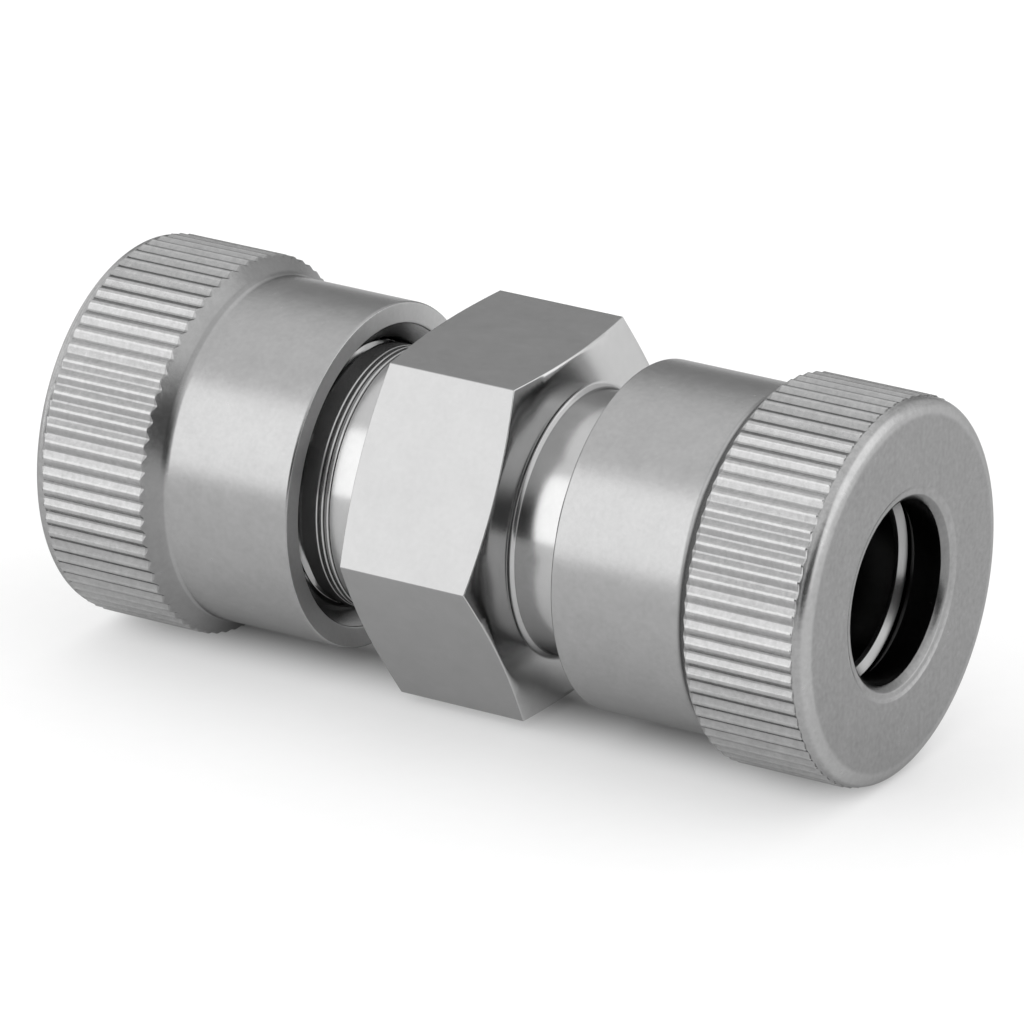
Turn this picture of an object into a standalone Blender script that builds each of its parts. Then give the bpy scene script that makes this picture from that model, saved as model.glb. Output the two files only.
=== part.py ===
"""Vacuum union fitting for 12.7 mm (1/2 in) tube, lying on its side.

A hexagonal body joins two tubes end to end. At each end a tube slides through a knurled
nut, a loose ferrule and an O-ring into a socket in the body. Turning the nut in by hand
pushes the ferrule against the O-ring, which is squeezed onto the tube and makes the seal.

The fitting's axis is X, its centre is the origin, and +Z is up. Sizes are in metres.
"""

import math

import bmesh
import bpy

MM = 0.001

# Tube and the clearances round it
TUBE_D = 12.7 * MM
SOCKET_CLEARANCE = 0.1 * MM
NUT_BORE_CLEARANCE = 0.2 * MM
SEAT_GAP = 0.3 * MM

# Body, turned from hexagonal bar
HEX_ACROSS_FLATS = 25.4 * MM
HEX_WIDTH = 11.3 * MM
HEX_FACE_D = 25.0 * MM
HEX_CHAMFER_ANGLE = math.radians(15.0)
HEX_ROLL = math.radians(-27.15)
BODY_LENGTH = 42.4 * MM
THREAD_D = 19.05 * MM
THREAD_LEAD = 0.8 * MM
NECK_FILLET = 0.5 * MM
FLOW_BORE_D = 10.4 * MM
TUBE_STOP_SPACING = 22.0 * MM
SEAT_MOUTH_D = 16.6 * MM

# O-ring
O_RING_INSIDE_D = 12.37 * MM
O_RING_SECTION_D = 2.62 * MM

# Ferrule
FERRULE_LENGTH = 3.4 * MM
FERRULE_CHAMFER = 0.3 * MM
FERRULE_LEAD_WIDTH = 0.6 * MM
FERRULE_LEAD_LENGTH = 0.45 * MM
FERRULE_POCKET_CLEARANCE = 0.3 * MM

# Nut
NUT_LENGTH = 20.8 * MM
NUT_END_WALL = 3.61 * MM
SKIRT_D = 25.2 * MM
MOUTH_D = 21.9 * MM
THREAD_CLEARANCE = 0.3 * MM
POCKET_D = 18.0 * MM
POCKET_DEPTH = 4.4 * MM
BORE_LEAD = 0.75 * MM
LIP_WIDTH = 0.9 * MM
LIP_DEPTH = 0.65 * MM
EDGE_BREAK = 0.2 * MM

# Straight knurl round the nut
KNURL_D = 27.8 * MM
KNURL_LENGTH = 8.2 * MM
KNURL_DEPTH = 0.3 * MM
KNURL_CREST_WIDTH = 0.22 * MM
KNURL_SHOULDER_LENGTH = 1.2 * MM
RIDGE_COUNT = 72
RIM_LENGTH = 1.05 * MM
RIM_STEP = 0.22 * MM
RIM_TAPER = 0.2 * MM
RIM_ROUND = 0.25 * MM
NUT_ROLL = {"left": math.radians(0.2), "right": math.radians(0.86)}

# How far a cutting shape reaches past what it cuts
CUT_MARGIN = 0.6 * MM

# Fineness of the round surfaces
BODY_SEGMENTS = 60
RING_SEGMENTS = 48
O_RING_SECTION_SEGMENTS = 10
ARC_SEGMENTS = 3
SMOOTH_ANGLE = math.radians(30.0)

SOCKET_R = TUBE_D / 2 + SOCKET_CLEARANCE
O_RING_CENTRE_R = (O_RING_INSIDE_D + O_RING_SECTION_D) / 2
O_RING_SECTION_R = O_RING_SECTION_D / 2
HEX_CORNER_R = HEX_ACROSS_FLATS / math.sqrt(3)


def clear_scene():
    """Removes every object that the scene holds."""
    for item in list(bpy.data.objects):
        bpy.data.objects.remove(item, do_unlink=True)


def surface(name, colour, roughness, metallic):
    """Makes a plain material with one colour."""
    material = bpy.data.materials.new(name)
    material.use_nodes = True
    shader = material.node_tree.nodes["Principled BSDF"]
    shader.inputs["Base Color"].default_value = (*colour, 1.0)
    shader.inputs["Roughness"].default_value = roughness
    shader.inputs["Metallic"].default_value = metallic
    return material


def polished_steel():
    """Stainless bar with bright turned and milled faces."""
    return surface("polished_steel", (0.385, 0.385, 0.385), 0.08, 1.0)


def satin_steel():
    """Stainless steel with the fine satin finish of the nuts."""
    return surface("satin_steel", (0.36, 0.36, 0.36), 0.34, 1.0)


def turned_steel():
    """Stainless steel as it leaves the lathe."""
    return surface("turned_steel", (0.36, 0.36, 0.36), 0.16, 1.0)


def black_rubber():
    """Fluorocarbon rubber of the seals."""
    return surface("black_rubber", (0.02, 0.02, 0.02), 0.55, 0.0)


def place(name, mesh, material, parent, x=0.0, roll=0.0):
    """Puts a mesh into the scene as an object whose origin lies on the fitting's axis."""
    item = bpy.data.objects.new(name, mesh)
    bpy.context.scene.collection.objects.link(item)
    item.parent = parent
    item.location.x = x
    item.rotation_euler.x = roll
    if material is not None:
        mesh.materials.append(material)
    return item


def finish_mesh(bm, name):
    """Turns the faces outwards, rounds the shading off and stores the mesh."""
    bmesh.ops.recalc_face_normals(bm, faces=bm.faces)
    mesh = bpy.data.meshes.new(name)
    bm.to_mesh(mesh)
    bm.free()
    mesh.shade_smooth()
    mesh.set_sharp_from_angle(angle=SMOOTH_ANGLE)
    return mesh


def round_about_axis(x, radius, angle):
    """Gives a point by its distance along the axis, its radius and its angle from +Z towards -Y."""
    return (x, -radius * math.sin(angle), radius * math.cos(angle))


def turned(name, outline, segments, start_angle=0.0):
    """Spins a closed outline of (x, radius) points about the X axis, as on a lathe."""
    bm = bmesh.new()
    corners = [bm.verts.new(round_about_axis(x, radius, start_angle)) for x, radius in outline]
    edges = [bm.edges.new(pair) for pair in zip(corners, corners[1:] + corners[:1])]
    bmesh.ops.spin(
        bm,
        geom=edges,
        cent=(0.0, 0.0, 0.0),
        axis=(1.0, 0.0, 0.0),
        angle=math.tau,
        steps=segments,
        use_merge=True,
    )
    return finish_mesh(bm, name)


def arc(centre_x, centre_radius, half_x, half_radius, start, end, segments=ARC_SEGMENTS):
    """Gives outline points along an arc, with angles in degrees from +x towards larger radius."""
    points = []
    for step in range(segments + 1):
        angle = math.radians(start + (end - start) * step / segments)
        x = centre_x + half_x * math.cos(angle)
        radius = centre_radius + half_radius * math.sin(angle)
        points.append((x, radius))
    return points


def cut(item, tool, operation):
    """Adds a Boolean between an object and a tool that is itself left out of the model."""
    tool.hide_render = True
    tool.display_type = "WIRE"
    modifier = item.modifiers.new(tool.name, "BOOLEAN")
    modifier.object = tool
    modifier.operation = operation
    modifier.solver = "EXACT"


def seat_root_x():
    """Where the cone of the O-ring seat, at 45 degrees, runs into the tube socket."""
    return BODY_LENGTH / 2 - (SEAT_MOUTH_D / 2 - SOCKET_R)


def o_ring_x():
    """The O-ring's place, resting against the cone of its seat."""
    along_cone = O_RING_CENTRE_R - SOCKET_R
    off_cone = (O_RING_SECTION_R + SEAT_GAP) * math.sqrt(2)
    return seat_root_x() + along_cone + off_cone


def ferrule_x():
    """The ferrule's inner face, against the O-ring."""
    return o_ring_x() + O_RING_SECTION_R + SEAT_GAP


def nut_x():
    """The shoulder inside the nut, against the ferrule's outer face."""
    return ferrule_x() + FERRULE_LENGTH + SEAT_GAP


def hexagonal_bar(name):
    """The bar stock that the body is turned from, rolled to the way the fitting lies."""
    bm = bmesh.new()
    corners = []
    for k in range(6):
        angle = HEX_ROLL + math.radians(60 * k)
        corners.append(bm.verts.new(round_about_axis(-BODY_LENGTH, HEX_CORNER_R, angle)))
    end_face = bm.faces.new(corners)
    pulled = bmesh.ops.extrude_face_region(bm, geom=[end_face])
    moved = [v for v in pulled["geom"] if isinstance(v, bmesh.types.BMVert)]
    bmesh.ops.translate(bm, verts=moved, vec=(2 * BODY_LENGTH, 0.0, 0.0))
    return finish_mesh(bm, name)


def body_outline():
    """The body's turned outline, bored through, with a collar wider than the hexagon's corners."""
    end = BODY_LENGTH / 2
    stop = TUBE_STOP_SPACING / 2
    hex_face = HEX_WIDTH / 2
    thread_r = THREAD_D / 2
    collar_r = HEX_CORNER_R + CUT_MARGIN
    collar_x = hex_face - (collar_r - HEX_FACE_D / 2) * math.tan(HEX_CHAMFER_ANGLE)
    half = [
        (stop, FLOW_BORE_D / 2),
        (stop, SOCKET_R),
        (seat_root_x(), SOCKET_R),
        (end, SEAT_MOUTH_D / 2),
        (end, thread_r - THREAD_LEAD),
        (end - THREAD_LEAD, thread_r),
    ]
    fillet_x = hex_face + NECK_FILLET
    fillet_r = thread_r + NECK_FILLET
    half += arc(fillet_x, fillet_r, NECK_FILLET, NECK_FILLET, 270, 180)
    half += [(hex_face, HEX_FACE_D / 2), (collar_x, collar_r)]
    return half + [(-x, radius) for x, radius in reversed(half)]


def make_body(material):
    """One solid: hexagon, two threaded ends, tube sockets, O-ring seats and the bore between."""
    mesh = turned("body", body_outline(), BODY_SEGMENTS, HEX_ROLL)
    body = place("body", mesh, material, None)
    bar = place("hexagonal_bar", hexagonal_bar("hexagonal_bar"), None, None)
    cut(body, bar, "INTERSECT")


def o_ring_outline():
    """The round section of the seal."""
    step = 360 / O_RING_SECTION_SEGMENTS
    return arc(
        0.0,
        O_RING_CENTRE_R,
        O_RING_SECTION_R,
        O_RING_SECTION_R,
        0,
        360 - step,
        O_RING_SECTION_SEGMENTS - 1,
    )


def ferrule_outline():
    """The section of the sleeve that pushes the O-ring, with a lead for the tube at its front."""
    outer_r = POCKET_D / 2 - FERRULE_POCKET_CLEARANCE
    return [
        (0.0, SOCKET_R + FERRULE_CHAMFER),
        (0.0, outer_r - FERRULE_CHAMFER),
        (FERRULE_CHAMFER, outer_r),
        (FERRULE_LENGTH - FERRULE_CHAMFER, outer_r),
        (FERRULE_LENGTH, outer_r - FERRULE_CHAMFER),
        (FERRULE_LENGTH, SOCKET_R + FERRULE_LEAD_WIDTH),
        (FERRULE_LENGTH - FERRULE_LEAD_LENGTH, SOCKET_R),
        (FERRULE_CHAMFER, SOCKET_R),
    ]


def nut_outline():
    """The nut's turned outline before knurling. Its shoulder for the ferrule is at x = 0."""
    end = NUT_END_WALL
    mouth = end - NUT_LENGTH
    ridge_end = end - RIM_LENGTH
    ridge_start = ridge_end - KNURL_LENGTH
    shoulder_foot = ridge_start - KNURL_SHOULDER_LENGTH
    skirt_r = SKIRT_D / 2
    knurl_r = KNURL_D / 2
    rim_r = knurl_r - RIM_STEP
    face_r = rim_r - RIM_TAPER
    bore_r = TUBE_D / 2 + NUT_BORE_CLEARANCE
    pocket_r = POCKET_D / 2
    thread_r = THREAD_D / 2 + THREAD_CLEARANCE
    mouth_r = MOUTH_D / 2
    outside = [
        (mouth, mouth_r),
        (mouth, skirt_r - EDGE_BREAK),
        (mouth + EDGE_BREAK, skirt_r),
        (shoulder_foot, skirt_r),
        (ridge_start, knurl_r),
        (ridge_end, knurl_r),
        (ridge_end + RIM_STEP, rim_r),
    ]
    rim_edge = arc(end - RIM_ROUND, face_r - RIM_ROUND, RIM_ROUND, RIM_ROUND, 80, 0)
    lip = arc(end - LIP_DEPTH, bore_r + LIP_WIDTH, LIP_DEPTH, LIP_WIDTH, 0, -90)
    inside = [
        (BORE_LEAD, bore_r),
        (0.0, bore_r + BORE_LEAD),
        (0.0, pocket_r),
        (-POCKET_DEPTH, pocket_r),
        (-POCKET_DEPTH, thread_r),
        (mouth + mouth_r - thread_r, thread_r),
    ]
    return outside + rim_edge + lip + inside


def knurling_sleeve(name):
    """A sleeve whose bore carries the ridges: what it overlaps is taken off the nut."""
    pitch = math.tau / RIDGE_COUNT
    knurl_r = KNURL_D / 2
    root_r = knurl_r - KNURL_DEPTH
    crest_half = KNURL_CREST_WIDTH / 2 / knurl_r
    flank = pitch / 2 - crest_half
    lift = KNURL_DEPTH * crest_half / flank / 2
    flank_top = flank * (KNURL_DEPTH + lift) / KNURL_DEPTH
    start = NUT_END_WALL - RIM_LENGTH - KNURL_LENGTH - KNURL_SHOULDER_LENGTH
    inner = []
    for ridge in range(RIDGE_COUNT):
        root = ridge * pitch
        inner.append((root_r, root))
        inner.append((knurl_r + lift, root + flank_top))
        inner.append((knurl_r + lift, root + pitch - flank_top))
    bm = bmesh.new()
    near = [bm.verts.new(round_about_axis(start, radius, angle)) for radius, angle in inner]
    outer_r = knurl_r + CUT_MARGIN
    far = [bm.verts.new(round_about_axis(start, outer_r, angle)) for _, angle in inner]
    for i, vertex in enumerate(near):
        bm.faces.new((near[i - 1], vertex, far[i], far[i - 1]))
    pulled = bmesh.ops.extrude_face_region(bm, geom=bm.faces[:])
    moved = [v for v in pulled["geom"] if isinstance(v, bmesh.types.BMVert)]
    bmesh.ops.translate(bm, verts=moved, vec=(NUT_LENGTH, 0.0, 0.0))
    return finish_mesh(bm, name)


def make_nut(side, parent, material):
    """The long nut: internal thread, ferrule pocket, tube bore and a straight knurl."""
    roll = NUT_ROLL[side]
    mesh = turned(f"{side}_nut", nut_outline(), RIDGE_COUNT, math.pi / RIDGE_COUNT)
    nut = place(f"{side}_nut", mesh, material, parent, nut_x(), roll)
    name = f"{side}_knurling_sleeve"
    sleeve = place(name, knurling_sleeve(name), None, parent, nut_x(), roll)
    cut(nut, sleeve, "DIFFERENCE")


def make_ferrule(side, parent, material):
    """The sleeve between the nut's shoulder and the O-ring."""
    mesh = turned(f"{side}_ferrule", ferrule_outline(), RING_SEGMENTS)
    place(f"{side}_ferrule", mesh, material, parent, ferrule_x())


def make_o_ring(side, parent, material):
    """The seal in the cone at the body's end."""
    mesh = turned(f"{side}_o_ring", o_ring_outline(), RING_SEGMENTS)
    place(f"{side}_o_ring", mesh, material, parent, o_ring_x())


def make_end(side, turn, nut_steel, ferrule_steel, rubber):
    """Builds the pieces at one end under an empty that faces that way."""
    axis = bpy.data.objects.new(f"{side}_end_axis", None)
    bpy.context.scene.collection.objects.link(axis)
    axis.rotation_euler.z = turn
    make_o_ring(side, axis, rubber)
    make_ferrule(side, axis, ferrule_steel)
    make_nut(side, axis, nut_steel)


clear_scene()
make_body(polished_steel())
nut_steel = satin_steel()
ferrule_steel = turned_steel()
rubber = black_rubber()
make_end("right", 0.0, nut_steel, ferrule_steel, rubber)
make_end("left", math.pi, nut_steel, ferrule_steel, rubber)
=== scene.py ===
import math

import bmesh
import bpy
from mathutils import Matrix, Vector


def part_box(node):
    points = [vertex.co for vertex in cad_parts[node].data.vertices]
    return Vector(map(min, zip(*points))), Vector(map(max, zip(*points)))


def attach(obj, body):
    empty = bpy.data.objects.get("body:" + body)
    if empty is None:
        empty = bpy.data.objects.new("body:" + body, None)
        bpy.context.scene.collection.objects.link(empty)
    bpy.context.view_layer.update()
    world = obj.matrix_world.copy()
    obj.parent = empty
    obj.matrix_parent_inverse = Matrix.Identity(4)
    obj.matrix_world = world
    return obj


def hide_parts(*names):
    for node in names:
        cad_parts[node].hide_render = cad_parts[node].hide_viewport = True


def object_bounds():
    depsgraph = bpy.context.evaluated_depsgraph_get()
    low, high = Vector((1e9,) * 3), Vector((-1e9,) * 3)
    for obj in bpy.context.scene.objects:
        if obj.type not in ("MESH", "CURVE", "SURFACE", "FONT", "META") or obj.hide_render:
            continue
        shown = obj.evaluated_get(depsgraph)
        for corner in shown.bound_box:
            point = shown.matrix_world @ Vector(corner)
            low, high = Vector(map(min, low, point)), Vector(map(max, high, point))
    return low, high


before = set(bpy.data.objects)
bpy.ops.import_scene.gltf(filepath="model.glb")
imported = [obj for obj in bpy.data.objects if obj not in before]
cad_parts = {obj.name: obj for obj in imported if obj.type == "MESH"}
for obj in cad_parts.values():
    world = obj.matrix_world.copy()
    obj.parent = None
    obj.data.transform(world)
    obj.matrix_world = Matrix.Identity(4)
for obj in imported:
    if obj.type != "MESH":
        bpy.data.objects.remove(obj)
cad_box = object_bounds()

# Body
# The body is one piece of stainless steel, turned and bored from hexagonal bar. Each end has a
# smooth neck, a thread for its nut, a cone that seats the seal and a socket with a stop for the
# tube. The six flats of the bar stay between the necks, with turned corners, for a wrench.

MM = 0.001
# What both ends have is made for the right end and turned about Z for the left one
ENDS = {"right": 0, "left": math.pi}
BODY_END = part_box("body")[1][0]
HEX_ACROSS_FLATS = 25.4 * MM
HEX_HALF_WIDTH = 5.65 * MM
HEX_BLANK_RADIUS = 14.8 * MM
HEX_FACE_RADIUS = 12.5 * MM
HEX_CHAMFER = math.radians(15)
HEX_ROLL = math.radians(2.85)
HEX_EDGE_FROM = HEX_FACE_RADIUS + 0.05 * MM
HEX_EDGE_ANGLE = math.radians(30)
HEX_EDGE_BREAK = 0.055 * MM
BAR_OVERHANG = 1 * MM
NECK_RADIUS = 9.525 * MM
NECK_FILLET = 0.5 * MM
# Three fine turned lines on each neck, between the hexagon and the thread
NECK_LINES = (9.32 * MM, 9.76 * MM, 10.2 * MM)
LINE_WIDTH = 0.3 * MM
LINE_DEPTH = 0.06 * MM
THREAD_PITCH = 25.4 / 24 * MM
THREAD_DEPTH = 0.6 * MM
THREAD_FLANK = math.radians(30)
THREAD_CREST = 0.06 * MM
THREAD_CREST_ROUND = 0.06 * MM
THREAD_CREST_STEPS = ((0.25, 0.55), (0.35, 0.35), (0.4, 0.1))
THREAD_ROOT_ROUND_SHARE = 0.45
THREAD_GAP = THREAD_PITCH - THREAD_CREST - 2 * THREAD_CREST_ROUND
THREAD_FULL_FROM = 11.95 * MM
THREAD_FADE = 0.5 * MM
THREAD_LEAD = 0.8 * MM
SEAT_MOUTH_RADIUS = 8.3 * MM
SEAT_EDGE = 0.08 * MM
SOCKET_RADIUS = 6.45 * MM
TUBE_STOP = 11.0 * MM
FLOW_BORE_RADIUS = 5.2 * MM
STOP_EDGE = 0.1 * MM
TURNED_SIDES = 144
WELD = 0.001 * MM
BODY_SHARP_FROM = 28


def arc(centre, radii, first, last, steps):
    """Points (x, radius) on a part of a circle or an oval, with its angles in degrees from +X."""
    angles = [math.radians(first + (last - first) * step / steps) for step in range(steps + 1)]
    return [(centre[0] + radii[0] * math.cos(a), centre[1] + radii[1] * math.sin(a)) for a in angles]


def take(piece):
    """Makes a piece the active one and the only one that is selected."""
    bpy.ops.object.select_all(action="DESELECT")
    bpy.context.view_layer.objects.active = piece
    piece.select_set(True)


def lathe(name, outline):
    """Turns a closed outline of (x, radius) points about the X axis: a circle is drawn at the first
    point, then extruded and scaled from point to point until it meets itself."""
    bpy.ops.object.select_all(action="DESELECT")
    x, radius = outline[0]
    bpy.ops.mesh.primitive_circle_add(
        vertices=TURNED_SIDES, radius=radius, location=(x, 0, 0), rotation=(0, math.pi / 2, 0))
    piece = bpy.context.object
    piece.name = name
    bpy.ops.object.transform_apply(location=True, rotation=True, scale=True)
    bpy.ops.object.mode_set(mode="EDIT")
    bpy.ops.mesh.select_all(action="SELECT")
    for next_x, next_radius in outline[1:] + outline[:1]:
        bpy.ops.mesh.extrude_region_move(TRANSFORM_OT_translate={"value": (next_x - x, 0, 0)})
        growth = next_radius / radius
        bpy.ops.transform.resize(value=(1, growth, growth), center_override=(0, 0, 0))
        x, radius = next_x, next_radius
    bpy.ops.mesh.select_all(action="SELECT")
    bpy.ops.mesh.remove_doubles(threshold=WELD)
    bpy.ops.mesh.normals_make_consistent(inside=False)
    bpy.ops.object.mode_set(mode="OBJECT")
    return piece


def pick(piece, wanted):
    """Opens a piece for editing and selects the points, with their edges, that are wanted."""
    take(piece)
    bpy.ops.object.mode_set(mode="EDIT")
    bpy.ops.mesh.select_mode(type="VERT")
    mesh = bmesh.from_edit_mesh(piece.data)
    for vert in mesh.verts:
        vert.select = wanted(vert.co)
    mesh.select_flush_mode()
    bmesh.update_edit_mesh(piece.data)


def pick_edges(piece, wanted):
    """Opens a piece for editing and selects the edges that are wanted, by their two ends and by
    the angle between their faces."""
    pick(piece, lambda point: False)
    bpy.ops.mesh.select_mode(type="EDGE")
    mesh = bmesh.from_edit_mesh(piece.data)
    for edge in mesh.edges:
        edge.select = wanted(edge.verts[0].co, edge.verts[1].co, edge.calc_face_angle(0))
    mesh.select_flush_mode()
    bmesh.update_edit_mesh(piece.data)


def leave_editing():
    bpy.ops.object.mode_set(mode="OBJECT")


def cut(piece, cutter, operation="DIFFERENCE"):
    """Cuts one closed shape with another, which is used up."""
    take(piece)
    tool = piece.modifiers.new("cut", "BOOLEAN")
    tool.operation = operation
    tool.solver = "EXACT"
    tool.object = cutter
    bpy.ops.object.modifier_apply(modifier=tool.name)
    bpy.data.objects.remove(cutter)


def turn_about(piece, angle, axis):
    """Turns a piece about the middle of the fitting and leaves the turn in its mesh."""
    take(piece)
    piece.rotation_euler = [angle if name == axis else 0 for name in "XYZ"]
    bpy.ops.object.transform_apply(location=True, rotation=True, scale=True)


def shade(piece, sharp_from):
    """Smooth shading, apart from edges that turn by more than so many degrees."""
    take(piece)
    bpy.ops.object.shade_smooth_by_angle(angle=math.radians(sharp_from))
    even = piece.modifiers.new("even", "WEIGHTED_NORMAL")
    even.keep_sharp = True
    bpy.ops.object.modifier_apply(modifier=even.name)


def across(point):
    """Distance of a point from the axis of the fitting."""
    return math.hypot(point.y, point.z)


def thread_groove(name, root, mouth, first_x, last_x):
    """The space between two turns of a thread, as a closed right-hand helix about X: a narrow plate
    at the first turn, wider at its mouth than at its root, with a round root and rounded shoulders,
    is carried round by a Screw modifier. The shoulders are rounded in steps, each with its share of
    the rounding along X and outwards."""
    outwards = 1 if mouth > root else -1
    depth = abs(mouth - root)
    close = depth / 8
    root_width = THREAD_GAP - 2 * depth * math.tan(THREAD_FLANK)
    bpy.ops.object.select_all(action="DESELECT")
    bpy.ops.mesh.primitive_plane_add(
        size=1, location=(first_x, 0, (root + mouth) / 2), rotation=(math.pi / 2, 0, 0))
    groove = bpy.context.object
    groove.name = name
    groove.scale = (root_width, depth, 1)
    bpy.ops.object.transform_apply(location=True, rotation=True, scale=True)
    pick(groove, lambda point: abs(point.z - mouth) < close)
    bpy.ops.transform.resize(value=(THREAD_GAP / root_width, 1, 1), center_override=(first_x, 0, mouth))
    width = THREAD_GAP
    for growth, rise in THREAD_CREST_STEPS:
        bpy.ops.mesh.extrude_region_move(
            TRANSFORM_OT_translate={"value": (0, 0, outwards * rise * THREAD_CREST_ROUND)})
        wider = width + 2 * growth * THREAD_CREST_ROUND
        bpy.ops.transform.resize(value=(wider / width, 1, 1), center_override=(first_x, 0, mouth))
        width = wider
    bpy.ops.mesh.extrude_region_move(TRANSFORM_OT_translate={"value": (0, 0, outwards * depth / 2)})
    leave_editing()
    pick(groove, lambda point: abs(point.z - root) < close)
    bpy.ops.mesh.bevel(offset=root_width * THREAD_ROOT_ROUND_SHARE, segments=3, affect="VERTICES")
    bpy.ops.mesh.select_mode(type="FACE")
    bpy.ops.mesh.select_all(action="SELECT")
    bpy.ops.mesh.dissolve_faces()
    bpy.ops.mesh.delete(type="ONLY_FACE")
    leave_editing()
    screw = groove.modifiers.new("turns", "SCREW")
    screw.axis = "X"
    screw.angle = 2 * math.pi
    screw.screw_offset = THREAD_PITCH
    screw.iterations = round((last_x - first_x) / THREAD_PITCH)
    screw.steps = screw.render_steps = TURNED_SIDES // 2
    screw.use_merge_vertices = False
    bpy.ops.object.modifier_apply(modifier=screw.name)
    bpy.ops.object.mode_set(mode="EDIT")
    bpy.ops.mesh.select_all(action="SELECT")
    bpy.ops.mesh.fill_holes(sides=0)
    bpy.ops.mesh.select_all(action="SELECT")
    bpy.ops.mesh.normals_make_consistent(inside=False)
    leave_editing()
    return groove


# The right half of the body's outline, from the hexagon along the outside and back along the bore
chamfer_drop = (HEX_BLANK_RADIUS - HEX_FACE_RADIUS) * math.tan(HEX_CHAMFER)
end_half = [
    (HEX_HALF_WIDTH - chamfer_drop, HEX_BLANK_RADIUS),
    (HEX_HALF_WIDTH, HEX_FACE_RADIUS),
    *reversed(arc((HEX_HALF_WIDTH + NECK_FILLET, NECK_RADIUS + NECK_FILLET),
                  (NECK_FILLET, NECK_FILLET), 270, 180, 6)),
    *(point for line in NECK_LINES for point in arc(
        (line, NECK_RADIUS), (-LINE_WIDTH / 2, -LINE_DEPTH), 0, 180, 6)),
    (THREAD_FULL_FROM - 1.5 * THREAD_FADE, NECK_RADIUS),
    (BODY_END - THREAD_LEAD, NECK_RADIUS),
    (BODY_END, NECK_RADIUS - THREAD_LEAD),
    (BODY_END, SEAT_MOUTH_RADIUS + SEAT_EDGE),
    (BODY_END - SEAT_EDGE, SEAT_MOUTH_RADIUS),
    (BODY_END - (SEAT_MOUTH_RADIUS - SOCKET_RADIUS), SOCKET_RADIUS),
    (TUBE_STOP, SOCKET_RADIUS),
    (TUBE_STOP, FLOW_BORE_RADIUS + STOP_EDGE),
    (TUBE_STOP - STOP_EDGE, FLOW_BORE_RADIUS),
]
body = lathe("union_body_turned", end_half + [(-x, radius) for x, radius in reversed(end_half)])

bpy.ops.object.select_all(action="DESELECT")
bpy.ops.mesh.primitive_cylinder_add(
    vertices=6, radius=HEX_ACROSS_FLATS / math.sqrt(3), depth=2 * (BODY_END + BAR_OVERHANG),
    rotation=(0, math.pi / 2, 0))
bar = bpy.context.object
bpy.ops.object.transform_apply(location=True, rotation=True, scale=True)
turn_about(bar, HEX_ROLL, "X")
cut(body, bar, "INTERSECT")

pick_edges(body, lambda a, b, angle: min(across(a), across(b)) > HEX_EDGE_FROM and angle > HEX_EDGE_ANGLE)
bpy.ops.mesh.bevel(offset=HEX_EDGE_BREAK, segments=3, affect="EDGES")
leave_editing()

# Each groove is lifted out of the metal where the thread starts, so that it fades into the neck
for end in ENDS.values():
    groove = thread_groove(
        "thread_groove", NECK_RADIUS - THREAD_DEPTH, NECK_RADIUS - THREAD_CREST_ROUND,
        THREAD_FULL_FROM - THREAD_PITCH, BODY_END + 1.5 * THREAD_PITCH)
    for vert in groove.data.vertices:
        lift = max(0, THREAD_FULL_FROM - vert.co.x) / THREAD_FADE * THREAD_DEPTH
        grown = 1 + lift / across(vert.co)
        vert.co.y *= grown
        vert.co.z *= grown
    turn_about(groove, end, "Z")
    cut(body, groove)
shade(body, BODY_SHARP_FROM)


class Wire:
    """A value inside a material. Sums and products of wires add their own Math nodes."""

    def __init__(self, finish, socket):
        self.finish = finish
        self.socket = socket

    def __add__(self, other):
        return self.finish.math("ADD", self, other)

    def __radd__(self, other):
        return self.finish.math("ADD", other, self)

    def __sub__(self, other):
        return self.finish.math("SUBTRACT", self, other)

    def __rsub__(self, other):
        return self.finish.math("SUBTRACT", other, self)

    def __mul__(self, other):
        return self.finish.math("MULTIPLY", self, other)

    def __rmul__(self, other):
        return self.finish.math("MULTIPLY", other, self)


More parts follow.
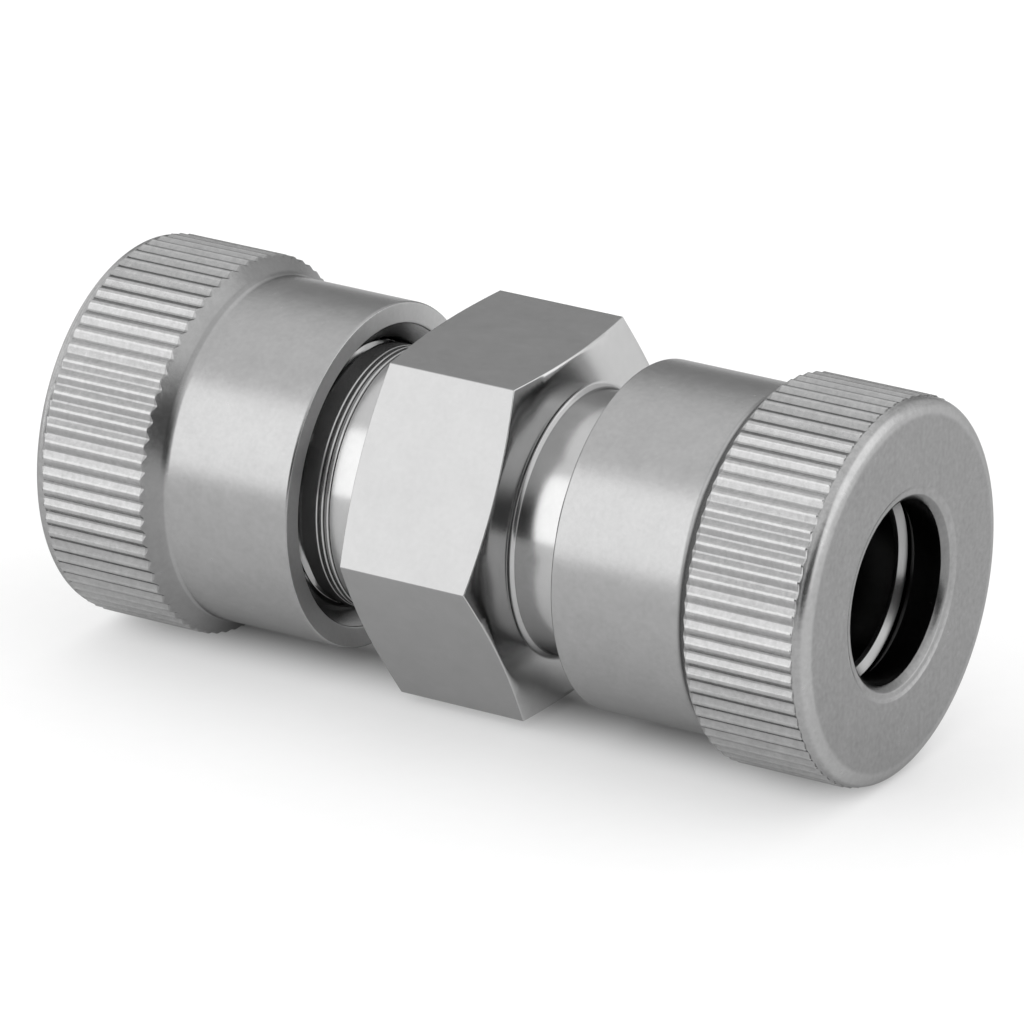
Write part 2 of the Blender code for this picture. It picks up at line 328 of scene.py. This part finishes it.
class Finish:
    """A surface finish, or the light of the room. Its nodes are added and wired one by one."""

    def __init__(self, name, tree_owner=None):
        self.owner = tree_owner or bpy.data.materials.new(name)
        self.owner.use_nodes = True
        self.tree = self.owner.node_tree
        self.made = None

    def set(self, node, sockets):
        for key, value in sockets.items():
            if isinstance(value, Wire):
                self.tree.links.new(value.socket, node.inputs[key])
            else:
                node.inputs[key].default_value = value

    def add(self, kind, settings, sockets, output=0):
        node = self.tree.nodes.new(kind)
        for key, value in settings.items():
            setattr(node, key, value)
        self.set(node, sockets)
        self.made = node
        return Wire(self, node.outputs[output])

    def also(self, output):
        """Another output of the node that was added last."""
        return Wire(self, self.made.outputs[output])

    def math(self, operation, *values):
        return self.add("ShaderNodeMath", {"operation": operation}, dict(enumerate(values)))

    def vector_math(self, operation, *values, output="Vector"):
        return self.add("ShaderNodeVectorMath", {"operation": operation}, dict(enumerate(values)), output)

    def place(self, kind="Object"):
        return self.add("ShaderNodeTexCoord", {}, {}, kind)

    def apart(self, vector):
        """The X, Y and Z of a vector."""
        x = self.add("ShaderNodeSeparateXYZ", {}, {"Vector": vector}, "X")
        return x, self.also("Y"), self.also("Z")

    def point(self, x, y, z):
        return self.add("ShaderNodeCombineXYZ", {}, {"X": x, "Y": y, "Z": z})

    def grade(self, value, low, high, at_low=0.0, at_high=1.0):
        """Carries a value smoothly from at_low to at_high as it goes from low to high."""
        return self.add("ShaderNodeMapRange", {"interpolation_type": "SMOOTHSTEP"}, {
            "Value": value, "From Min": low, "From Max": high, "To Min": at_low, "To Max": at_high})

    def grain(self, place, size, detail=3.0):
        """Noise whose marks are about as large as size, with values round a half."""
        return self.add("ShaderNodeTexNoise", {}, {
            "Vector": place, "Scale": 1 / size, "Detail": detail, "Roughness": 0.55})

    def grey(self, value):
        return self.add("ShaderNodeCombineColor", {}, {"Red": value, "Green": value, "Blue": value})

    def bump(self, height, distance):
        return self.add("ShaderNodeBump", {}, {"Height": height, "Distance": distance, "Strength": 1.0})

    def into_shader(self, sockets, node="Principled BSDF"):
        """Wires the finished values into the shader."""
        self.set(self.tree.nodes[node], sockets)


STEEL_EDGE_TINT = (0.6, 0.6, 0.6, 1)


def steel_places(finish):
    """Where a point of a turned piece lies: its place, its distance along the axis from the middle
    of the fitting, and its radius."""
    place = finish.place()
    along, y, z = finish.apart(place)
    return place, finish.math("ABSOLUTE", along), finish.math("SQRT", y * y + z * z)


def finish_steel(finish, colour, roughness, height, distance):
    """Ends a steel finish: its colour, its roughness and its surface height."""
    finish.into_shader({
        "Base Color": finish.grey(colour), "Metallic": 1.0, "Roughness": roughness,
        "Specular Tint": STEEL_EDGE_TINT, "Normal": finish.bump(height, distance)})


NECK_GREY = 0.43
FLATS_GREY = 0.345
FACES_GREY = 0.55
BODY_BORE_PAINTED_SHADE = 0.75
POLISHED_HEIGHT = 0.0025 * MM
polished = Finish("polished_steel")
place, distance, radius = steel_places(polished)
turned_rings = polished.grain(polished.point(distance, radius, 0), 0.12 * MM, 4)
clouds = polished.grain(place, 2.2 * MM, 4)
patches = polished.grain(place, 0.45 * MM, 4)
speckle = polished.grain(place, 0.09 * MM, 2)
inside_cone = HEX_HALF_WIDTH - (radius - HEX_FACE_RADIUS) * math.tan(HEX_CHAMFER) - distance
flats = polished.grade(radius, HEX_FACE_RADIUS - 0.1 * MM, HEX_FACE_RADIUS) * polished.grade(
    inside_cone, 0.01 * MM, 0.06 * MM)
faces = polished.grade(radius, NECK_RADIUS + 0.2 * MM, NECK_RADIUS + 0.5 * MM) * (1 - flats)
# Towards the bore the colour darkens: painted shade inside the seat, the socket and the flow bore
bores = polished.grade(radius, SEAT_MOUTH_RADIUS, SOCKET_RADIUS)
polished_grey = NECK_GREY + flats * (FLATS_GREY - NECK_GREY) + faces * (FACES_GREY - NECK_GREY)
polished_colour = polished_grey * (0.88 + clouds * 0.14 + patches * 0.1) * (1 - bores * BODY_BORE_PAINTED_SHADE)
polished_roughness = 0.13 + flats * 0.08 + clouds * 0.05 + patches * 0.04 + bores * 0.15
polished_height = speckle * (0.2 + flats * 0.8) + turned_rings * (1 - flats) * 0.5
finish_steel(polished, polished_colour, polished_roughness, polished_height, POLISHED_HEIGHT)
body.name = "hexagon_body"
body.data.materials.clear()
body.data.materials.append(polished.owner)
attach(body, "union_body")
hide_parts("body")

# Seals
# Each end has an O-ring of black fluorocarbon rubber that lies in the body's cone, against the
# tube. It is moulded, with a fine flash line where the halves of the mould met.

SEAL_RADIUS = 7.495 * MM
SEAL_SECTION = 1.31 * MM
SEAL_FLASH = 0.035 * MM
SEAL_SIDES = (120, 32)
SEAL_SHARP_FROM = 60
CLOSE_BY = 0.02 * MM
seal_low, seal_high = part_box("right_o_ring")
seal_middle = (seal_low[0] + seal_high[0]) / 2

rubber = Finish("black_rubber")
place = rubber.place()
rubber_grain = rubber.grain(place, 0.15 * MM, 4)
rubber_bloom = rubber.grain(place, 1.6 * MM)
rubber.into_shader({
    "Base Color": rubber.grey(0.016 + rubber_bloom * 0.014),
    "Roughness": 0.42 + rubber_bloom * 0.2,
    "Normal": rubber.bump(rubber_grain, 0.006 * MM)})


def near(value, target):
    """True for a place that is meant to be the target, give or take a rounding error."""
    return abs(value - target) < CLOSE_BY


for side, end in ENDS.items():
    bpy.ops.object.select_all(action="DESELECT")
    bpy.ops.mesh.primitive_torus_add(
        major_segments=SEAL_SIDES[0], minor_segments=SEAL_SIDES[1], major_radius=SEAL_RADIUS,
        minor_radius=SEAL_SECTION, rotation=(0, math.pi / 2, 0))
    seal = bpy.context.object
    seal.name = side + "_seal"
    seal.location.x = seal_middle
    bpy.ops.object.transform_apply(location=True, rotation=True, scale=True)
    for outwards in (1, -1):
        flash_radius = SEAL_RADIUS + outwards * SEAL_SECTION
        pick(seal, lambda point: near(point.x, seal_middle) and near(across(point), flash_radius))
        growth = 1 + outwards * SEAL_FLASH / flash_radius
        bpy.ops.transform.resize(value=(1, growth, growth), center_override=(0, 0, 0))
        leave_editing()
    turn_about(seal, end, "Z")
    shade(seal, SEAL_SHARP_FROM)
    seal.data.materials.append(rubber.owner)
    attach(seal, "union_body")
    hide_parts(side + "_o_ring")

# Ferrules
# Each nut presses on its seal through a plain ring, turned from stainless steel, that is loose in
# the nut. Its bright front edge shows in the bore of the nut.

FERRULE_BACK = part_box("right_ferrule")[0][0]
FERRULE_FRONT = 27.95 * MM
FERRULE_OUTER = 8.7 * MM
FERRULE_INNER = 6.45 * MM
FERRULE_EDGE = 0.3 * MM
FERRULE_BREAK = 0.08 * MM
FERRULE_MOUTH = 7.22 * MM
FERRULE_CONE = (0.49 * MM, 0.44 * MM)
FERRULE_BORE_STEP = 0.15 * MM
FERRULE_SHARP_FROM = 20
cone_foot = FERRULE_FRONT - FERRULE_CONE[0]
ferrule_outline = [
    (FERRULE_BACK, FERRULE_INNER + FERRULE_BREAK),
    (FERRULE_BACK, FERRULE_OUTER - FERRULE_EDGE),
    (FERRULE_BACK + FERRULE_EDGE, FERRULE_OUTER),
    (FERRULE_FRONT - FERRULE_EDGE, FERRULE_OUTER),
    (FERRULE_FRONT, FERRULE_OUTER - FERRULE_EDGE),
    (FERRULE_FRONT, FERRULE_MOUTH + FERRULE_BREAK),
    (FERRULE_FRONT - FERRULE_BREAK / 4, FERRULE_MOUTH),
    (cone_foot, FERRULE_MOUTH - FERRULE_CONE[1]),
    (cone_foot - FERRULE_BORE_STEP, FERRULE_INNER),
    (FERRULE_BACK + FERRULE_BREAK, FERRULE_INNER),
]

TURNED_GREY = 0.33
FERRULE_BORE_PAINTED_SHADE = 0.8
FERRULE_OUTSIDE_PAINTED_SHADE = 0.6
turned = Finish("turned_steel")
place, distance, radius = steel_places(turned)
tool_marks = turned.grain(turned.point(distance, radius, 0), 0.1 * MM, 4)
clouds = turned.grain(place, 1.2 * MM)
# The ring's bore behind its cone, and its front face and outside beyond the cone's mouth, are darkened:
# painted shade inside the nut
in_bore = turned.grade(distance, cone_foot, cone_foot - 0.1 * MM)
outside = turned.grade(radius, FERRULE_MOUTH, FERRULE_MOUTH + FERRULE_BREAK)
turned_grey = TURNED_GREY * (0.85 + clouds * 0.3)
turned_colour = turned_grey * (1 - in_bore * FERRULE_BORE_PAINTED_SHADE) * (1 - outside * FERRULE_OUTSIDE_PAINTED_SHADE)
finish_steel(turned, turned_colour, 0.16 + clouds * 0.1, tool_marks, 0.003 * MM)

for side, end in ENDS.items():
    ferrule = lathe(side + "_press_ring", ferrule_outline)
    turn_about(ferrule, end, "Z")
    shade(ferrule, FERRULE_SHARP_FROM)
    ferrule.data.materials.append(turned.owner)
    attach(ferrule, side + "_ferrule")
    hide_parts(side + "_ferrule")

# Nuts
# The two hand nuts are turned from stainless steel bar and tumbled to an even satin. A plain skirt
# runs on the thread. The band for the fingers has a straight knurl that ends in a chamfer at the
# skirt and in a broadly rounded rim at the end face.

NUT_MOUTH, NUT_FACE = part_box("right_nut")[0][0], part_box("right_nut")[1][0]
MOUTH_RADIUS = 11.0 * MM
MOUTH_EDGE = 0.16 * MM
SKIRT_RADIUS = 12.6 * MM
SKIRT_EDGE = 0.2 * MM
RIDGES = 72
HALF_RIDGE = 180 / RIDGES
KNURL_CREST = 13.95 * MM
KNURL_ROOT = 13.61 * MM
KNURL_FROM = 22.342 * MM
KNURL_TO = 30.54 * MM
KNURL_SHOULDER = 1.2 * MM
SHOULDER_FILLET = 0.45 * MM
CREST_ROUND = 0.19 * MM
ROOT_ROUND = 0.13 * MM
GROOVE_RUN_OUT = 0.12 * MM
LONG_EDGE = 1 * MM
RIM_FROM = 30.66 * MM
RIM_RADIUS = 13.8 * MM
RIM_TAPER = 0.05 * MM
RIM_ROUND = (0.75 * MM, 1.2 * MM)
# How deep each point of the bore's rounded mouth lies below the end face, and its radius
LIP = (
    (0, 7.75 * MM), (0.03 * MM, 7.65 * MM), (0.13 * MM, 7.45 * MM),
    (0.15 * MM, 7.35 * MM), (0.15 * MM, 7.15 * MM), (0.18 * MM, 7.03 * MM),
    (0.27 * MM, 6.9 * MM), (0.45 * MM, 6.7 * MM), (0.6 * MM, 6.6 * MM))
LIP_DEPTH = 0.7 * MM
TUBE_BORE = 6.55 * MM
BORE_LEAD = 0.85 * MM
SHOULDER = 27.982 * MM
POCKET_RADIUS = 9.0 * MM
POCKET_MOUTH = 23.582 * MM
THREAD_BORE = 9.825 * MM
THREAD_PLAY = 0.1 * MM
THREAD_RELIEF = 0.9 * MM
NUT_THREAD_MINOR = NECK_RADIUS - THREAD_DEPTH + THREAD_PLAY
NUT_THREAD_FROM = 12.6 * MM
NUT_THREAD_TO = POCKET_MOUTH - THREAD_RELIEF
NUT_SHARP_FROM = 32
NUT_ROLL = {"right": math.radians(0.86 + HALF_RIDGE), "left": math.radians(0.2 + HALF_RIDGE)}

rim_middle = (NUT_FACE - RIM_ROUND[0], RIM_RADIUS - RIM_TAPER - RIM_ROUND[1])
skirt_cone = (KNURL_CREST - SKIRT_RADIUS) / KNURL_SHOULDER
knurl_foot = KNURL_FROM - KNURL_SHOULDER
foot_fillet = ((-1, 0), (-0.4, 0.07), (0.15, 0.37), (0.6, 0.6 * skirt_cone))
thread_step = THREAD_BORE - NUT_THREAD_MINOR
nut_outline = [
    *reversed(arc((NUT_MOUTH + MOUTH_EDGE, MOUTH_RADIUS + MOUTH_EDGE),
                  (MOUTH_EDGE, MOUTH_EDGE), 180, 270, 4)),
    *reversed(arc((NUT_MOUTH + SKIRT_EDGE, SKIRT_RADIUS - SKIRT_EDGE),
                  (SKIRT_EDGE, SKIRT_EDGE), 90, 165, 5)),
    *((knurl_foot + SHOULDER_FILLET * step, SKIRT_RADIUS + SHOULDER_FILLET * rise)
      for step, rise in foot_fillet),
    (KNURL_FROM, KNURL_CREST),
    (KNURL_TO, KNURL_CREST),
    (RIM_FROM, RIM_RADIUS),
    *reversed(arc(rim_middle, RIM_ROUND, 0, 90, 12)),
    *((NUT_FACE - depth, radius) for depth, radius in LIP),
    (NUT_FACE - LIP_DEPTH, TUBE_BORE),
    (SHOULDER + BORE_LEAD, TUBE_BORE),
    (SHOULDER, TUBE_BORE + BORE_LEAD),
    (SHOULDER, POCKET_RADIUS),
    (POCKET_MOUTH, POCKET_RADIUS),
    (POCKET_MOUTH, THREAD_BORE),
    (NUT_THREAD_TO, THREAD_BORE),
    (NUT_THREAD_TO - thread_step, NUT_THREAD_MINOR),
    (NUT_THREAD_FROM + thread_step, NUT_THREAD_MINOR),
    (NUT_THREAD_FROM, THREAD_BORE),
    (NUT_MOUTH + (MOUTH_RADIUS - THREAD_BORE), THREAD_BORE),
]
nut = lathe("nut_blank", nut_outline)


def in_groove(point):
    """True on the lines between two ridges, where a column of points stands every 2.5 degrees."""
    turns = math.atan2(point.y, point.z) / (2 * math.pi) * RIDGES
    return abs(turns - round(turns)) > 0.25


pick(nut, lambda point: in_groove(point) and near(across(point), KNURL_CREST))
shrink = KNURL_ROOT / KNURL_CREST
bpy.ops.transform.resize(value=(1, shrink, shrink), center_override=(0, 0, 0))
leave_editing()
pick(nut, lambda point: near(point.x, KNURL_FROM) and near(across(point), KNURL_ROOT))
bpy.ops.transform.translate(value=(-(KNURL_CREST - KNURL_ROOT) / skirt_cone, 0, 0))
leave_editing()
pick(nut, lambda point: in_groove(point) and near(point.x, RIM_FROM) and near(across(point), RIM_RADIUS))
bpy.ops.transform.translate(value=(GROOVE_RUN_OUT, 0, 0))
leave_editing()
for line_radius, line_round, steps in ((KNURL_CREST, CREST_ROUND, 4), (KNURL_ROOT, ROOT_ROUND, 2)):
    pick_edges(nut, lambda a, b, angle: near(across(a), line_radius) and near(across(b), line_radius)
               and abs(a.x - b.x) > LONG_EDGE)
    bpy.ops.mesh.bevel(offset=line_round, segments=steps, affect="EDGES")
    leave_editing()

nut_groove = thread_groove(
    "nut_thread", NECK_RADIUS + THREAD_PLAY, NUT_THREAD_MINOR + THREAD_CREST_ROUND,
    THREAD_FULL_FROM + THREAD_PITCH / 2, POCKET_MOUTH + THREAD_PITCH)
cut(nut, nut_groove)
shade(nut, NUT_SHARP_FROM)

SATIN_GREY = 0.335
LIP_SHADE_RADIUS = 6.95 * MM
SATIN_HEIGHT = 0.006 * MM
satin = Finish("satin_steel")
place, distance, radius = steel_places(satin)
clouds = satin.grain(place, 1.8 * MM, 5)
patches = satin.grain(place, 0.4 * MM, 4)
grit = satin.grain(place, 0.07 * MM, 3)
tool_marks = satin.grain(satin.point(distance, radius, 0), 0.2 * MM, 4)

knurl_side = satin.grade(distance, KNURL_FROM - 0.6 * MM, KNURL_FROM)
on_knurl = satin.grade(distance, RIM_FROM, KNURL_TO) * satin.grade(
    distance, KNURL_FROM - 0.5 * MM, KNURL_FROM)
# The knurl's crests are painted lighter below, and its grooves and the chamfer at its foot darker:
# painted highlights and painted shade
grooves = satin.grade(radius, KNURL_CREST - 0.12 * MM, KNURL_ROOT) * on_knurl
crests = satin.grade(radius, KNURL_CREST - 0.14 * MM, KNURL_CREST - 0.08 * MM)
chamfer = satin.grade(radius, SKIRT_RADIUS + 0.02 * MM, SKIRT_RADIUS + 0.12 * MM) * satin.grade(
    distance, KNURL_FROM + 0.02 * MM, KNURL_FROM - 0.02 * MM)
# The rim and the mouth face are painted lighter below, and the end face darker: painted light and painted
# shade
rim = satin.grade(distance, NUT_FACE - 0.5 * MM, NUT_FACE - 0.25 * MM) * satin.grade(
    radius, rim_middle[1] - 0.1 * MM, rim_middle[1] + 0.3 * MM)
end_face = satin.grade(distance, NUT_FACE - 0.03 * MM, NUT_FACE - 0.01 * MM) * (1 - rim)
mouth_face = satin.grade(distance, NUT_MOUTH + 0.04 * MM, NUT_MOUTH + 0.01 * MM)
# The tube bore, the foot of the lip and the thread inside are darkened below: painted shade
tube_bore = satin.grade(distance, NUT_FACE - LIP_DEPTH + 0.1 * MM, NUT_FACE - LIP_DEPTH) * satin.grade(
    radius, TUBE_BORE + BORE_LEAD + 0.2 * MM, TUBE_BORE + BORE_LEAD)
lip_foot = satin.grade(radius, LIP_SHADE_RADIUS + 0.12 * MM, LIP_SHADE_RADIUS) * satin.grade(
    distance, NUT_FACE - LIP_DEPTH, NUT_FACE - LIP_DEPTH + 0.1 * MM)
thread = satin.grade(radius, MOUTH_RADIUS, THREAD_BORE) * satin.grade(distance, SHOULDER, POCKET_MOUTH)

# How much lighter or darker than the plain satin each part of the nut is, all painted light and shade:
# painted highlights on the mouth face, the rim and the crests, and painted shade on the end face, in the
# grooves, the tube bore, the thread, the foot of the lip and the chamfer
satin_grey = SATIN_GREY
for part, lighter in (
        (mouth_face, 0.5), (end_face, -0.07), (rim, 0.2), (crests, 0.14), (grooves, -0.04),
        (tube_bore, -0.85), (thread, -0.4), (lip_foot, -0.35), (chamfer, -0.22)):
    satin_grey = satin_grey * (1 + part * lighter)
mottle = 0.65 + knurl_side * (0.85 - rim * 0.5)
marks = ((patches - 0.5) * 0.3 + (grit - 0.5) * 0.1) * mottle
satin_colour = satin_grey * (1 + (clouds - 0.5) * 0.2 + marks)
satin_roughness = 0.18 + clouds * 0.08 + patches * 0.06 + mouth_face * 0.25
satin_height = (grit * 0.7 + patches * 1.1) * mottle + tool_marks * 0.35
finish_steel(satin, satin_colour, satin_roughness, satin_height, SATIN_HEIGHT)

nut.data.materials.clear()
nut.data.materials.append(satin.owner)
for side, end in ENDS.items():
    hand_nut = nut.copy()
    hand_nut.data = nut.data.copy()
    hand_nut.name = side + "_hand_nut"
    bpy.context.scene.collection.objects.link(hand_nut)
    turn_about(hand_nut, NUT_ROLL[side], "X")
    turn_about(hand_nut, end, "Z")
    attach(hand_nut, side + "_nut")
    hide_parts(side + "_nut")
bpy.data.objects.remove(nut)

# Floor, light and camera
# The fitting lies on its two knurls on a white board, in a pale room with a white ceiling. A tall
# bright screen stands at the front left, lower ones at both ends and a dimmer one behind. The room
# is dark only beside and behind the camera. The board's own glow fades out near the fitting: a painted
# shadow.

FLOOR_SIZE = 4.0
FLOOR_WHITE = 0.5
FLOOR_GLOW = 0.46
PAINTED_SHADOW_LENGTH = 26 * MM
PAINTED_SHADOW_FROM = -1.2 * MM
PAINTED_SHADOW_TO = 8 * MM
bpy.ops.object.select_all(action="DESELECT")
bpy.ops.mesh.primitive_plane_add(size=FLOOR_SIZE, location=(0, 0, cad_box[0][2]))
floor = bpy.context.object
floor.name = "floor"
board = Finish("white_board")
place = board.place()
fibre = board.grain(place, 2 * MM)
along, aside = board.apart(place)[:2]
# The glow is taken away near the fitting's plan, a painted shadow under it
beyond = board.math("MAXIMUM", board.math("ABSOLUTE", along) - PAINTED_SHADOW_LENGTH, 0.0)
away = board.math("SQRT", beyond * beyond + aside * aside)
glow_with_painted_shadow = FLOOR_GLOW * board.grade(away, PAINTED_SHADOW_FROM, PAINTED_SHADOW_TO)
seen = board.add("ShaderNodeLightPath", {}, {}, "Is Camera Ray")
mirrored, through = board.also("Is Glossy Ray"), board.also("Is Transmission Ray")
in_view = board.math("MINIMUM", seen + mirrored + through, 1.0)
board.into_shader({
    "Base Color": board.grey(FLOOR_WHITE + fibre * 0.02), "Roughness": 0.8, "Specular IOR Level": 0.2,
    "Emission Color": board.grey(in_view * glow_with_painted_shadow), "Emission Strength": 1.0})
floor.data.materials.append(board.owner)

WALL_LIGHT = 0.6
WALL_TOP = 0.34
CEILING_LIGHT = 1.26
CEILING_FROM = 0.86
BACK_LIGHT = 0.88
SIDE_LIGHT = 1.7
LEFT_LIGHT = 1.6
DARK_LIGHT = 0.1
KEY_LIGHT = 2.2
world = bpy.data.worlds.new("room")
bpy.context.scene.world = world
room = Finish("room", world)
way = room.place("Generated")
height = room.apart(way)[2]
flat_way = room.vector_math("NORMALIZE", room.vector_math("MULTIPLY", way, (1, 1, 0)))


def beside(middle, half_width, edge):
    """One in the part of the room round a compass angle from +X, nought beyond it, in degrees."""
    heading = math.radians(middle)
    towards = (math.cos(heading), math.sin(heading), 0)
    turn = room.vector_math("DOT_PRODUCT", flat_way, towards, output="Value")
    outer = math.cos(math.radians(half_width + edge))
    inner = math.cos(math.radians(half_width - edge))
    return room.grade(turn, outer, inner)


def below(elevation, edge):
    """One up to a height above the floor as seen from the fitting, nought above it, in degrees."""
    highest = math.sin(math.radians(elevation + edge))
    lowest = math.sin(math.radians(elevation - edge))
    return room.grade(height, highest, lowest)


light = room.grade(height, WALL_TOP, CEILING_FROM, WALL_LIGHT, CEILING_LIGHT)
for level, part in (
        (BACK_LIGHT, beside(68, 22, 8) * below(38, 12)),
        (SIDE_LIGHT, beside(21, 31, 6) * below(44, 5)),
        (LEFT_LIGHT, beside(170, 30, 8) * below(34, 6)),
        (DARK_LIGHT, beside(-48, 34, 8) * below(30, 10)),
        (KEY_LIGHT, beside(-128, 22, 5) * below(48, 2))):
    light = light * (1 - part) + level * part
room.into_shader({"Color": room.grey(light), "Strength": 1.0}, "Background")

CAMERA_AZIMUTH = math.radians(31.52)
CAMERA_ELEVATION = math.radians(21.98)
CAMERA_DISTANCE = 0.6416
CLIP_START = 0.01
FOCAL_PIXELS = 9094
FRAME_PIXELS = 1024
SENSOR = 36
CENTRE_RIGHT_PIXELS = 0.2
CENTRE_DOWN_PIXELS = 7.2
back = Vector((
    math.sin(CAMERA_AZIMUTH) * math.cos(CAMERA_ELEVATION),
    -math.cos(CAMERA_AZIMUTH) * math.cos(CAMERA_ELEVATION),
    math.sin(CAMERA_ELEVATION)))
right = Vector((math.cos(CAMERA_AZIMUTH), math.sin(CAMERA_AZIMUTH), 0))
up = back.cross(right)
pixel = CAMERA_DISTANCE / FOCAL_PIXELS
stand = Matrix((right, up, back)).transposed().to_4x4()
aim = (right * CENTRE_RIGHT_PIXELS - up * CENTRE_DOWN_PIXELS) * pixel
stand.translation = back * CAMERA_DISTANCE + aim
camera = bpy.data.objects.new("camera", bpy.data.cameras.new("camera"))
bpy.context.scene.collection.objects.link(camera)
camera.data.sensor_width = SENSOR
camera.data.lens = SENSOR * FOCAL_PIXELS / FRAME_PIXELS
camera.data.clip_start = CLIP_START
camera.matrix_world = stand
bpy.context.scene.camera = camera
bpy.context.scene.view_settings.view_transform = "Standard"
